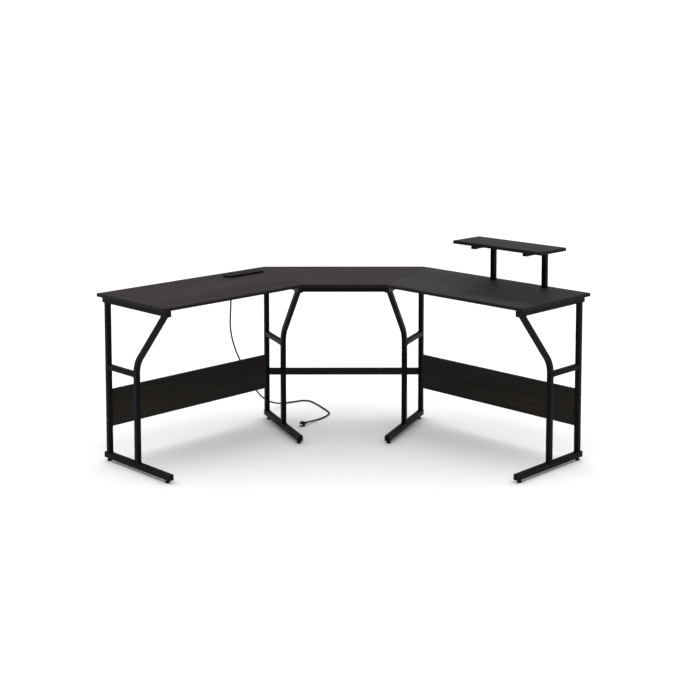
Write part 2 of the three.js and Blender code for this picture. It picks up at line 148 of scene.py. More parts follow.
def laminate(name, dark, light, seed, turn=0.0, roughness=0.46, specular=0.08):
    """Wood-grain melamine with its grain along local X, or along Y with a quarter turn."""
    g = Graph(name)
    where = g.coordinates(shift=(seed * 1.37, seed * 0.61, seed * 0.29), turn=turn)
    drift = g.noise(g.coordinates((1.6, 3.0, 3.0), start=where), detail=1)
    sway = g.node("CombineXYZ", {"Y": g.ramp(drift, 0.2, 0.8, -0.012, 0.012)}).outputs["Vector"]
    bent = g.node("VectorMath", {0: where, 1: sway}, operation="ADD").outputs["Vector"]
    planks = g.noise(g.coordinates((0.5, 7.0, 7.0), start=bent), detail=2)
    bands = g.noise(g.coordinates((1.3, 38, 38), start=bent), detail=4, roughness=0.6)
    lines = g.noise(g.coordinates((3.5, 210, 210), start=bent), detail=3, roughness=0.65)
    pores = g.noise(g.coordinates((18, 1100, 1100), start=bent), detail=1)
    pit = g.ramp(pores, 0.60, 0.70)
    tone = g.math("ADD", g.math("MULTIPLY", planks, 0.30), g.math("MULTIPLY", bands, 0.45))
    tone = g.math("ADD", tone, g.math("MULTIPLY", lines, 0.25))
    colour = g.mix(g.ramp(tone, 0.36, 0.64), dark, light)
    colour = g.mix(g.math("MULTIPLY", pit, 0.55), colour, scaled(dark, 0.45))
    worn = g.math("MULTIPLY", g.wear(), g.ramp(g.noise(where, 90, 3), 0.42, 0.62, 0.15, 0.5))
    colour = g.mix(worn, colour, scaled(light, 1.7))
    smudges = g.noise(where, 5.0, 4, 0.6)
    shine = g.ramp(smudges, 0.3, 0.7, roughness - 0.05, roughness + 0.06)
    shine = g.math("ADD", shine, g.math("MULTIPLY", pit, 0.12))
    height = g.math("SUBTRACT", g.math("MULTIPLY", lines, 0.5), pit)
    g.set(Base_Color=colour, Roughness=shine, Normal=g.bump(height, 0.12 * MM, 0.8),
          Specular_IOR_Level=specular)
    return g.material


def coated(name, base, high, grain, depth, roughness, specular=0.08):
    """A moulded or powder-coated surface: fine texture, faint mottling, rubbed edges."""
    g = Graph(name)
    where = g.coordinates()
    mottle = g.noise(where, 14, 4, 0.6)
    fine = g.noise(where, grain, 3, 0.6)
    dust = g.noise(where, 160, 3, 0.7)
    colour = g.mix(g.ramp(mottle, 0.3, 0.7), base, high)
    rubbed = g.math("MULTIPLY", g.wear(), g.ramp(dust, 0.40, 0.66, 0.1, 0.8))
    colour = g.mix(rubbed, colour, scaled(high, 2.4, 0.004))
    uneven = g.math("ADD", g.math("MULTIPLY", mottle, 0.6), g.math("MULTIPLY", fine, 0.4))
    shine = g.ramp(uneven, 0.35, 0.65, roughness - 0.06, roughness + 0.07)
    g.set(Base_Color=colour, Roughness=shine, Normal=g.bump(fine, depth, 0.7),
          Specular_IOR_Level=specular)
    return g.material


def plated(name, base, high, roughness):
    """Bright metal, brushed along local X."""
    g = Graph(name)
    brushed = g.noise(g.coordinates((60, 2600, 2600)), detail=2)
    stain = g.noise(g.coordinates(), 130, 3)
    colour = g.mix(g.ramp(stain, 0.35, 0.65), base, high)
    shine = g.ramp(brushed, 0.3, 0.7, roughness - 0.07, roughness + 0.08)
    g.set(Base_Color=colour, Roughness=shine, Normal=g.bump(brushed, 0.02 * MM, 0.5), Metallic=1.0)
    return g.material


# the dark and light of each laminate's grain
ESPRESSO = (rgb(24, 18, 17), rgb(50, 41, 39))
NEUTRAL = (rgb(28, 26, 26), rgb(52, 50, 49))
PANEL = (rgb(33, 29, 26), rgb(50, 46, 42))
EDGE = (rgb(20, 17, 15), rgb(38, 33, 30))

# moulded and coated: two shades, grains to the metre, depth of the grain, roughness, specular
STEEL = coated("black_powder_coat", rgb(9, 9, 9), rgb(13, 13, 13), 1500, 0.06 * MM, 0.46, 0.06)
CAP_PLASTIC = coated("black_cap_plastic", rgb(13, 13, 14), rgb(19, 19, 20), 2400, 0.04 * MM, 0.55)
FOOT_PLASTIC = coated("black_foot_plastic", rgb(13, 13, 14), rgb(19, 19, 20), 2200, 0.04 * MM, 0.6)
STRIP_PLASTIC = coated("black_strip_plastic", rgb(15, 15, 15), rgb(21, 21, 21), 3000, 0.05 * MM, 0.5)
SOCKET_PLASTIC = coated("black_socket_plastic", rgb(12, 12, 13), rgb(17, 17, 18), 2600, 0.02 * MM, 0.42)
CORD_PVC = coated("black_cord_pvc", rgb(7, 7, 7), rgb(11, 11, 11), 1800, 0.03 * MM, 0.5)
BLACK_ZINC = coated("black_zinc", rgb(30, 30, 31), rgb(44, 43, 42), 1200, 0.02 * MM, 0.34, 0.4)
PIN_METAL = plated("pin_plating", rgb(196, 186, 160), rgb(224, 216, 196), 0.3)


# ------------------------------------------------------------------ shapes
SMOOTH_ANGLE = 38  # degrees; a sharper edge than this is drawn as an edge


class Shape:
    """A mesh built from rings of points, with a `wear` value at each point."""

    def __init__(self):
        self.mesh = bmesh.new()
        self.wear = self.mesh.verts.layers.float.new("wear")

    def ring(self, points, wear):
        made = []
        for p in points:
            v = self.mesh.verts.new(p)
            v[self.wear] = wear
            made.append(v)
        return made

    def bridge(self, low, high, slots):
        """Faces between two rings, with one material slot for all, or a list with one for each."""
        count = len(low)
        for i in range(count):
            j = (i + 1) % count
            face = self.mesh.faces.new((low[i], low[j], high[j], high[i]))
            face.material_index = slots if isinstance(slots, int) else slots[i]

    def cap(self, ring, flip=False):
        self.mesh.faces.new(list(reversed(ring)) if flip else ring)

    def loft(self, rings, wears, slots=0, closed=False):
        """Joins rings of points in turn, with both ends capped unless they close on themselves."""
        made = [self.ring(points, wear) for points, wear in zip(rings, wears)]
        for low, high in zip(made, made[1:]):
            self.bridge(low, high, slots)
        if closed:
            self.bridge(made[-1], made[0], slots)
        else:
            self.cap(made[0], flip=True)
            self.cap(made[-1])

    def finish(self, name, materials, body="root", slot=None, place=None, replaces=()):
        """Makes the piece, rides it on its body, and hides the CAD nodes it replaces. Its slot is not
        used.
        """
        bmesh.ops.recalc_face_normals(self.mesh, faces=self.mesh.faces)
        data = bpy.data.meshes.new(name)
        self.mesh.to_mesh(data)
        self.mesh.free()
        data.shade_smooth()
        data.set_sharp_from_angle(angle=math.radians(SMOOTH_ANGLE))
        piece = bpy.data.objects.new(name, data)
        for material in materials:
            data.materials.append(material)
        scene.collection.objects.link(piece)
        if place is not None:
            piece.matrix_world = place
        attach(piece, body)
        if replaces:
            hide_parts(*replaces)
        return piece


def rectangle(size_x, size_y, radius=0.0, steps=5):
    """Anticlockwise points of a rectangle about the origin, with round corners."""
    x, y = size_x / 2 - radius, size_y / 2 - radius
    corners = [(x, -y, -90), (x, y, 0), (-x, y, 90), (-x, -y, 180)]
    if radius == 0:
        return [Vector((cx, cy)) for cx, cy, _ in corners]
    points = []
    for cx, cy, start in corners:
        for i in range(steps + 1):
            a = math.radians(start + 90 * i / steps)
            points.append(Vector((cx + radius * math.cos(a), cy + radius * math.sin(a))))
    return points


def edge_runs(outline):
    """The direction of each edge, from point i to the next."""
    return [(q - p).normalized() for p, q in zip(outline, outline[1:] + outline[:1])]


def inset(outline, distances):
    """The outline with edge i, from point i to the next, moved inwards by distances[i]."""
    runs = edge_runs(outline)
    moved = []
    for i, p in enumerate(outline):
        a, b = runs[i - 1], runs[i]
        da, db = distances[i - 1], distances[i]
        turn = a.x * b.y - a.y * b.x
        if abs(turn) < 1e-4:
            moved.append(p + Vector((-b.y, b.x)) * db)
        else:
            moved.append(p + (b * da - a * db) / turn)
    return moved


def rounding(radius, depth):
    """How far a rounded edge is set in at a depth below the face it rounds."""
    if depth >= radius:
        return 0.0
    return radius - math.sqrt(radius * radius - (radius - depth) ** 2)


ROUND_OUTLINE = 8  # an outline with this many points or more has round corners


def prism(shape, outline, low, high, top, bottom, slots=0, at=None, steps=6):
    """A body with upright sides on `outline`, from z = low to high. `top` and `bottom` give each
    edge's rounding, as one number or a list. Roundings are worn, and the flats between them aren't:
    a ring at `margin` from a rounding stops the wear."""
    count = len(outline)
    if count < ROUND_OUTLINE:
        margin = 2.5 * MM
        width = min((outline[i] - outline[i - 2]).length for i in range(count))
    else:
        margin = 1.3 * MM
        width = 1.0
    rings, wears = [], []
    for edges, upper in ((bottom, False), (top, True)):
        radii = [edges] * count if isinstance(edges, float) else edges
        largest = max(radii)
        part = []  # rows of depth from the face, wear, and how far the ring is set in besides
        if width > 4 * margin:
            part.append((0.0, 0.0, margin))
        for i in range(steps):
            depth = largest * (1 - math.cos(QUARTER * i / steps))
            part.append((depth, 0.35 + 0.65 * math.sin(math.pi * i / steps), 0.0))
        part.append((largest * (1 - math.cos(QUARTER)), 0.25, 0.0))
        if largest + margin < (high - low) / 2:
            part.append((largest + margin, 0.0, 0.0))
        for depth, wear, extra in reversed(part) if upper else part:
            z = high - depth if upper else low + depth
            ring = inset(outline, [rounding(radius, depth) + extra for radius in radii])
            points = [Vector((p.x, p.y, z)) for p in ring]
            rings.append([at @ p for p in points] if at is not None else points)
            wears.append(wear)
    shape.loft(rings, wears, slots)


def turned(shape, rows, at=None, segments=32):
    """A turned body from rows of (radius, z, wear, hexagon), from the axis to the axis; wear and
    hexagon may be left off. Where hexagon is 1 the ring is six-sided, its radius across corners."""
    rings, wears = [], []
    for row in rows:
        radius, z, wear, hexagon = (*row, 0.0, 0.0)[:4]
        points = []
        for i in range(segments):
            a = 2 * math.pi * i / segments
            flat = math.cos(math.pi / 6) / math.cos(a % (math.pi / 3) - math.pi / 6)
            r = radius * (1 + (flat - 1) * hexagon)
            points.append(Vector((r * math.cos(a), r * math.sin(a), z)))
        rings.append([at @ p for p in points] if at is not None else points)
        wears.append(wear)
    shape.loft(rings, wears)


def hull(points):
    """Anticlockwise corners of the points' outline, without those that lie along its edges."""
    ordered = sorted({(round(p.x, 5), round(p.y, 5)) for p in points})

    def half(run):
        kept = []
        for p in run:
            while len(kept) > 1:
                (ax, ay), (bx, by) = kept[-2], kept[-1]
                if (bx - ax) * (p[1] - ay) - (by - ay) * (p[0] - ax) > 1e-6:
                    break
                kept.pop()
            kept.append(p)
        return kept[:-1]

    return [Vector(p) for p in half(ordered) + half(ordered[::-1])]


# ------------------------------------------------------------------ places, from the CAD nodes
def local_points(node, place):
    """A CAD node's points, in a place's own coordinates."""
    back = place.inverted()
    return [back @ v.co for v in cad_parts[node].data.vertices]


def local_box(node, place):
    """A CAD node's lowest and highest corners, in a place's own coordinates."""
    points = local_points(node, place)
    return [Vector([pick(p[i] for p in points) for i in range(3)]) for pick in (min, max)]


def middle(low, high):
    return (low + high) / 2


def spot(x, y, z, turn=0.0):
    """A place at a point, turned about the upright."""
    return Matrix.Translation((x, y, z)) @ Matrix.Rotation(turn, 4, "Z")


# A wing's x runs outwards along its rear edge, from the corner board's end. A leg frame's x runs
# forwards along its foot bar, and its y is 0 at the middle of its tubes.
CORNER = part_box("corner_top")[1]
WINGS, FRAMES = {}, {}
for side_name, side in (("left", -1), ("right", 1)):
    wing = spot(side * CORNER.x, CORNER.y, 0, QUARTER / 2 - math.pi if side < 0 else -QUARTER / 2)
    bar = local_box(f"{side_name}_outer_top_bar", wing)
    WINGS[side_name] = wing
    FRAMES[f"{side_name}_outer"] = wing @ spot(middle(*bar).x, 0, 0, -side * QUARTER)
    FRAMES[f"{side_name}_inner"] = spot(side * CORNER.x, CORNER.y, 0, -QUARTER - side * QUARTER / 4)
DESK = spot(0, 0, 0)
UPRIGHT_TO_X = Matrix.Rotation(QUARTER, 4, "Y")  # turns a piece's z to the frame's x


# ------------------------------------------------------------------ mains cord, first
CORD_DIAMETER = 0.0075
CORD_ROUTE = [  # from the strain relief to the plug, as in part.mjs
    (-0.522, 0.231, 0.6554), (-0.522, 0.232, 0.635), (-0.523, 0.242, 0.605), (-0.526, 0.260, 0.565),
    (-0.530, 0.283, 0.520), (-0.530, 0.303, 0.470), (-0.524, 0.323, 0.420), (-0.513, 0.345, 0.370),
    (-0.499, 0.367, 0.325), (-0.483, 0.390, 0.280), (-0.465, 0.419, 0.230), (-0.446, 0.453, 0.180),
    (-0.425, 0.494, 0.130), (-0.408, 0.524, 0.098), (-0.388, 0.556, 0.070), (-0.364, 0.594, 0.046),
    (-0.337, 0.643, 0.025), (-0.309, 0.691, 0.011), (-0.280, 0.725, 0.005), (-0.247, 0.746, 0.004),
    (-0.210, 0.765, 0.004), (-0.174, 0.755, 0.004), (-0.143, 0.708, 0.004), (-0.112, 0.645, 0.004),
    (-0.084, 0.580, 0.004), (-0.072, 0.535, 0.004), (-0.079, 0.503, 0.004), (-0.093, 0.473, 0.004),
    (-0.112, 0.444, 0.004), (-0.131, 0.418, 0.0052), (-0.149, 0.394, 0.0074), (-0.165, 0.373, 0.010),
    (-0.1786, 0.35445, 0.011),
]


def smooth_route(points, steps):
    """Points along the centripetal Catmull-Rom curve through the given ones."""
    knots = [Vector(p) for p in points]
    knots = [2 * knots[0] - knots[1], *knots, 2 * knots[-1] - knots[-2]]
    line = []
    for p0, p1, p2, p3 in zip(knots, knots[1:], knots[2:], knots[3:]):
        d0, d1, d2 = (math.sqrt((b - a).length) for a, b in ((p0, p1), (p1, p2), (p2, p3)))
        m1 = ((p1 - p0) / d0 - (p2 - p0) / (d0 + d1) + (p2 - p1) / d1) * d1
        m2 = ((p2 - p1) / d1 - (p3 - p1) / (d1 + d2) + (p3 - p2) / d2) * d1
        for i in range(steps):
            t = i / steps
            a, b = 2 * t**3 - 3 * t**2 + 1, t**3 - 2 * t**2 + t
            c, d = -2 * t**3 + 3 * t**2, t**3 - t**2
            line.append(p1 * a + m1 * b + p2 * c + m2 * d)
    return [*line, knots[-2]]


def add_cord():
    """The mains cord, a round tube along its route."""
    line = smooth_route(CORD_ROUTE, 10)
    data = bpy.data.curves.new("mains_cord", "CURVE")
    data.dimensions = "3D"
    data.bevel_depth = CORD_DIAMETER / 2
    data.bevel_resolution = 5
    data.use_fill_caps = True
    spline = data.splines.new("POLY")
    spline.points.add(len(line) - 1)
    for point, place in zip(spline.points, line):
        point.co = (*place, 1)
    data.materials.append(CORD_PVC)
    piece = bpy.data.objects.new("mains_cord", data)
    scene.collection.objects.link(piece)
    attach(piece, "root")
    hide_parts("power_cord")
    return piece


# the cord's far end on the floor, turned to the way that the plug points
PLUG_PLACE = spot(-0.179, 0.354, 0, math.pi + 0.85)


def add_plug():
    """The moulded plug, lofted along the CAD plug from its cord end to its face."""
    low, high = local_box("power_plug", PLUG_PLACE)
    centre = middle(low, high)
    half_y, half_z = (high.y - low.y) / 2, (high.z - low.z) / 2
    rows = [  # share of the length, half width, half height, squareness
        (0.0, 0.0047, 0.0047, 2.0), (0.03, 0.0053, 0.0053, 2.0), (0.10, 0.0054, 0.0054, 2.0),
        (0.13, 0.0048, 0.0048, 2.0), (0.17, 0.0048, 0.0048, 2.0), (0.20, 0.0058, 0.0057, 2.0),
        (0.28, 0.0061, 0.0060, 2.1), (0.30, 0.0055, 0.0054, 2.1), (0.34, 0.0055, 0.0054, 2.2),
        (0.37, 0.0064, 0.0062, 2.4), (0.46, 0.0088, 0.0080, 2.8), (0.56, 0.0112, 0.0098, 3.2),
        (0.66, half_y * 0.97, half_z * 0.97, 3.6), (0.74, half_y, half_z, 4.0),
        (0.775, half_y, half_z, 4.0), (0.785, half_y * 0.95, half_z * 0.95, 4.0),
        (0.80, half_y * 0.95, half_z * 0.95, 4.0), (0.81, half_y, half_z, 4.0),
        (0.93, half_y, half_z, 4.5), (0.97, half_y * 0.985, half_z * 0.985, 4.5),
        (1.0, half_y * 0.93, half_z * 0.93, 4.5),
    ]
    rings, segments = [], 40
    for share, wide, tall, square in rows:
        ring = []
        for i in range(segments):
            a = 2 * math.pi * i / segments
            y = math.copysign(abs(math.cos(a)) ** (2 / square), math.cos(a)) * wide
            z = math.copysign(abs(math.sin(a)) ** (2 / square), math.sin(a)) * tall
            ring.append(Vector((low.x + share * (high.x - low.x), centre.y + y, centre.z + z)))
        rings.append(ring)
    shape = Shape()
    shape.loft(rings, [0.15] * (len(rings) - 4) + [0.2, 0.5, 0.8, 0.5])
    return shape.finish("plug_body", [CORD_PVC], slot="cord_pvc", place=PLUG_PLACE,
                        replaces=["power_plug"])


def refined(node, name, material, slot, width, place=DESK, angle=30, wear=0.3):
    """A copy of a CAD node in a place's own coordinates, with its flats joined, and each edge
    sharper than `angle` rounded by `width`."""
    mesh = bmesh.new()
    mesh.from_mesh(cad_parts[node].data)
    mesh.transform(place.inverted())
    bmesh.ops.remove_doubles(mesh, verts=mesh.verts, dist=1e-5)
    bmesh.ops.dissolve_limit(mesh, angle_limit=math.radians(1), verts=mesh.verts, edges=mesh.edges)
    sharp = [e for e in mesh.edges if len(e.link_faces) == 2 and e.calc_face_angle() > math.radians(angle)]
    bmesh.ops.bevel(mesh, geom=sharp, offset=width, segments=3, profile=0.5, affect="EDGES",
                    clamp_overlap=True)
    layer = mesh.verts.layers.float.new("wear")
    for v in mesh.verts:
        v[layer] = wear
    shape = Shape()
    shape.mesh.free()
    shape.mesh = mesh
    return shape.finish(name, [material], slot=slot, place=place, replaces=[node])


def add_strain_relief():
    """A tapered sleeve with a flange and cut ribs, under the mains strip."""
    low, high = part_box("cord_strain_relief")
    centre = middle(low, high)
    flange, length = (high.x - low.x) / 2, high.z - low.z
    # rows of radius, height and wear
    profile = [(0.0005, high.z), (flange - 0.0006, high.z, 0.4), (flange, high.z - 0.0006, 0.9),
               (flange, high.z - 0.0044, 0.9), (flange - 0.0006, high.z - 0.005, 0.4)]
    start, ribs = 0.006, 7
    pitch = (length - start - 0.002) / ribs
    for i in range(ribs):
        top = high.z - start - i * pitch
        wide = 0.0070 - 0.0018 * i / (ribs - 1)
        slim = wide - 0.0011
        profile += [(slim, top), (wide, top - 0.12 * pitch, 0.7), (wide, top - 0.6 * pitch, 0.7),
                    (slim, top - 0.72 * pitch)]
    profile += [(0.0049, low.z + 0.001, 0.4), (0.0044, low.z), (0.0005, low.z)]
    shape = Shape()
    turned(shape, profile, at=Matrix.Translation((centre.x, centre.y, 0)))
    return shape.finish("strain_relief", [CORD_PVC], slot="cord_pvc", replaces=["cord_strain_relief"])


cord = add_cord()
plug_pieces = [add_plug(), add_strain_relief()]
for pin, pin_rounding in (
    ("plug_blade_1", 0.2 * MM), ("plug_blade_2", 0.2 * MM), ("plug_earth_pin", 0.4 * MM),
):
    plug_pieces.append(refined(pin, f"{pin}_plated", PIN_METAL, "pin_metal", pin_rounding, PLUG_PLACE))


# ------------------------------------------------------------------ boards
EDGE_BAND, END_BAND = 1, 2  # a board's material slots; its face is slot 0
PANEL_EDGE, PANEL_FACE = 0, 1  # a panel's material slots
TOP_MIDDLE = 0.7275  # the height of the middle of the worktop's thickness


def board(name, node, place, forward, seed, colours, front=4.5 * MM, other=1.6 * MM, seam=0.3 * MM,
          outward=None, cutter=None):
    """A laminate board on the CAD node's outline. `forward` and `outward` point to the edges that
    show; any other edge that isn't the rear one is a seam. `front`, `other` and `seam` are the
    edges' roundings."""
    outline = hull(local_points(node, place))
    low, high = local_box(node, place)
    tops, bottoms, slots = [], [], []
    for run in edge_runs(outline):
        normal = Vector((run.y, -run.x))
        if normal.dot(forward) > 0.99:
            radius, under = front, 2 * MM
        elif normal.dot(forward) < -0.99 or (outward and normal.dot(outward) > 0.99):
            radius, under = other, other
        else:
            radius, under = seam, seam
        tops.append(radius)
        bottoms.append(under)
        slots.append(EDGE_BAND if abs(run.x) > 0.8 else END_BAND)
    shape = Shape()
    prism(shape, outline, low.z, high.z, tops, bottoms, slots, steps=8)
    dark, light = colours
    materials = [laminate(name + "_face", dark, light, seed),
                 laminate(name + "_edge", *EDGE, seed + 0.4, roughness=0.55),
                 laminate(name + "_end", *EDGE, seed + 0.7, turn=QUARTER, roughness=0.55)]
    piece = shape.finish(name, materials, slot="laminate", place=place, replaces=[node])
    if cutter is not None:
        cut_out(piece, cutter)
    return piece


def cut_out(piece, cutter):
    """Cuts the mains strip's opening through a board, for good."""
    modifier = piece.modifiers.new("cut", "BOOLEAN")
    modifier.operation = "DIFFERENCE"
    modifier.solver = "EXACT"
    modifier.object = cutter
    bpy.context.view_layer.update()
    graph = bpy.context.evaluated_depsgraph_get()
    data = bpy.data.meshes.new_from_object(piece.evaluated_get(graph))
    piece.modifiers.clear()
    piece.data = data
    bpy.data.objects.remove(cutter)


def strip_cutter(place):
    """A block as wide as the mains strip's face and a little more, through the worktop."""
    low, high = local_box("power_strip_face", place)
    centre, size = middle(low, high), high - low
    clear, corner, reach = 0.5 * MM, 4.5 * MM, 30 * MM
    shape = Shape()
    outline = rectangle(size.x + 2 * clear, size.y + 2 * clear, corner)
    shape.loft([[Vector((p.x, p.y, z)) for p in outline] for z in (-reach, reach)], [0.0, 0.0])
    data = bpy.data.meshes.new("cutter")
    bmesh.ops.recalc_face_normals(shape.mesh, faces=shape.mesh.faces)
    shape.mesh.to_mesh(data)
    cutter = bpy.data.objects.new("cutter", data)
    scene.collection.objects.link(cutter)
    cutter.matrix_world = place @ spot(centre.x, centre.y, TOP_MIDDLE)
    return cutter


def add_boards():
    board("corner_board", "corner_top", DESK, Vector((0, -1)), 1.0, ESPRESSO)
    for name, side, seed, colours in (("left", -1, 2.1, ESPRESSO), ("right", 1, 3.3, NEUTRAL)):
        place = WINGS[name]
        forward = Vector((0, -side))
        cutter = strip_cutter(place) if side < 0 else None
        board(f"{name}_wing_board", f"{name}_top", place, forward, seed, colours,
              outward=Vector((1, 0)), cutter=cutter)
        panel(f"{name}_panel", f"{name}_modesty_panel", place, seed + 5)
    board("shelf_top", "shelf_board", WINGS["right"], Vector((0, -1)), 4.6, NEUTRAL, front=2 * MM,
          seam=1.6 * MM)
    panel("rear_bar", "corner_rear_bar", DESK, 12.0)


def panel(name, node, place, seed):
    """An upright laminate panel: the broad faces are its sides, so they take the face's grain."""
    outline = hull(local_points(node, place))
    low, high = local_box(node, place)
    slots = [PANEL_FACE if abs(run.x) > 0.8 else PANEL_EDGE for run in edge_runs(outline)]
    shape = Shape()
    prism(shape, outline, low.z, high.z, 1.0 * MM, 1.0 * MM, slots)
    materials = [laminate(name + "_edge", *EDGE, seed),
                 laminate(name + "_face", *PANEL, seed + 0.3, roughness=0.6)]
    shape.finish(name, materials, slot="laminate", place=place, replaces=[node])


add_boards()

# ------------------------------------------------------------------ steel frames
TUBE_RADIUS = 2.4 * MM  # of a tube's long edges
END_RADIUS = 0.4 * MM
BEND_HEIGHT = 0.462  # where the two straights of the front tube would meet
BEND_RADIUS = 0.110
WELD_RADIUS = 1.5 * MM
WELD_STEP = 1.4 * MM
PLUG_WALL = 2 * MM
PANEL_BOLT_HEIGHTS = (0.184, 0.280)
TOP_SCREWS = (0.22, 0.42, 0.93)  # shares of the top bar's length
ARM_SCREWS = (0.35, 0.82)  # shares of the shelf arm's length
BAR_ENDS = (("front", 1), ("rear", -1))  # and the way that each faces along the frame's x
ripple = random.Random(11)


def tube_along(shape, low, high, axis):
    """A square tube that fills a box, its long edges rounded."""
    centre, size = middle(low, high), high - low
    if axis == "z":
        outline = [p + Vector((centre.x, centre.y)) for p in rectangle(size.x, size.y, TUBE_RADIUS)]
        prism(shape, outline, low.z, high.z, END_RADIUS, END_RADIUS, steps=3)
    else:
        at = Matrix.Translation(centre) @ UPRIGHT_TO_X
        outline = rectangle(size.z, size.y, TUBE_RADIUS)
        prism(shape, outline, -size.x / 2, size.x / 2, END_RADIUS, END_RADIUS, at=at, steps=3)


def weld(shape, loop):
    """A rippled bead along a closed loop of points."""
    count = len(loop)
    centre = sum(loop, Vector()) / count
    rings = []
    for i, p in enumerate(loop):
        run = (loop[(i + 1) % count] - loop[i - 1]).normalized()
        out = (p - centre) - (p - centre).dot(run) * run
        out.normalize()
        side = run.cross(out)
        # every third ring swells, and each is a little uneven
        radius = WELD_RADIUS * (0.88 + 0.2 * (i % 3 == 0) + 0.12 * ripple.random())
        rings.append([p + radius * (math.cos(a) * out + math.sin(a) * side)
                      for a in (2 * math.pi * k / 6 for k in range(6))])
    shape.loft(rings, [0.25] * count, closed=True)


def loop_at(centre, size_a, size_b, axis_a, axis_b):
    """Points round a joint's rectangle, close enough together for a weld's ripples."""
    points = []
    corners = rectangle(size_a, size_b, TUBE_RADIUS, steps=3)
    for i, p in enumerate(corners):
        q = corners[(i + 1) % len(corners)]
        parts = max(1, round((q - p).length / WELD_STEP))
        points += [p + (q - p) * k / parts for k in range(parts)]
    return [centre + p.x * axis_a + p.y * axis_b for p in points]


def bent_stations(node, place):
    """Places and angles along the bent tube's centre line, and half the tube's width."""
    low, high = local_box(node, place)
    half = (high.y - low.y) / 2
    foot_x = low.x + half
    points = local_points(node, place)
    top_x = [p.x for p in points if p.z > high.z - 0.5 * MM]
    head_x = (min(top_x) + max(top_x)) / 2
    angle = math.atan2(head_x - foot_x, high.z - BEND_HEIGHT)
    bend_start = BEND_HEIGHT - BEND_RADIUS * math.tan(angle / 2)
    stations = [(foot_x, low.z, 0.0)]
    steps = 20
    for i in range(steps + 1):
        a = angle * i / steps
        x = foot_x + BEND_RADIUS * (1 - math.cos(a))
        stations.append((x, bend_start + BEND_RADIUS * math.sin(a), a))
    stations.append((head_x, high.z, angle))
    return stations, half


def bent_tube(shape, node, place):
    """The front tube. Gives back its head's centre, and the head's length along x and its width."""
    stations, half = bent_stations(node, place)
    section = rectangle(2 * half, 2 * half, TUBE_RADIUS)
    rings = []
    for x, z, a in stations:
        rings.append([Vector((x + p.x * math.cos(a), p.y, z - p.x * math.sin(a))) for p in section])
    head_x, top, angle = stations[-1]
    along = Vector((math.sin(angle), 0, math.cos(angle)))
    rings[-1] = [p + along * ((top - p.z) / along.z) for p in rings[-1]]
    shape.loft(rings, [0.0] * len(rings))
    return Vector((head_x, 0, top)), 2 * half / math.cos(angle), 2 * half


def end_plate(shape, low, high, facing, thick=2.5 * MM):
    """A push-in cap's plate over the end of a bar: round corners and a softened rim. `facing` is 1
    at the bar's high-x end and -1 at the other."""
    size = high - low
    centre = middle(low, high)
    x = high.x - thick if facing > 0 else low.x + thick
    at = Matrix.Translation((x, centre.y, centre.z)) @ Matrix.Rotation(facing * QUARTER, 4, "Y")
    outline = rectangle(size.z, size.y, TUBE_RADIUS + 0.2 * MM)
    prism(shape, outline, 0.0, thick, 0.9 * MM, 0.2 * MM, at=at, steps=4)


def bolt(shape, at):
    """A button-head bolt with a hexagon socket. +Z of `at` points out of the surface."""
    head, tall, socket = 5.2 * MM, 2.9 * MM, 2.3 * MM
    sunk, rim, steps = 0.8 * MM, 0.6 * MM, 6
    rows = [(0.0002, -sunk), (head, -sunk), (head, 0.0, 0.3)]
    for i in range(1, steps):
        a = QUARTER * i / steps
        rows.append((socket + rim + (head - socket - rim) * math.cos(a), tall * math.sin(a), 0.4))
    rows += [(socket + 0.0004, tall, 0.8, 0.6), (socket, tall - 0.0003, 0.5, 1.0),
             (socket, 0.0009, 0.0, 1.0), (0.0002, 0.0006)]
    turned(shape, rows, at=at, segments=24)


def screws_below(shape, low, high, shares):
    """Screws up into a bar from below, at shares of its length."""
    for share in shares:
        x = low.x + share * (high.x - low.x)
        bolt(shape, Matrix.Translation((x, 0, low.z)) @ Matrix.Rotation(math.pi, 4, "X"))


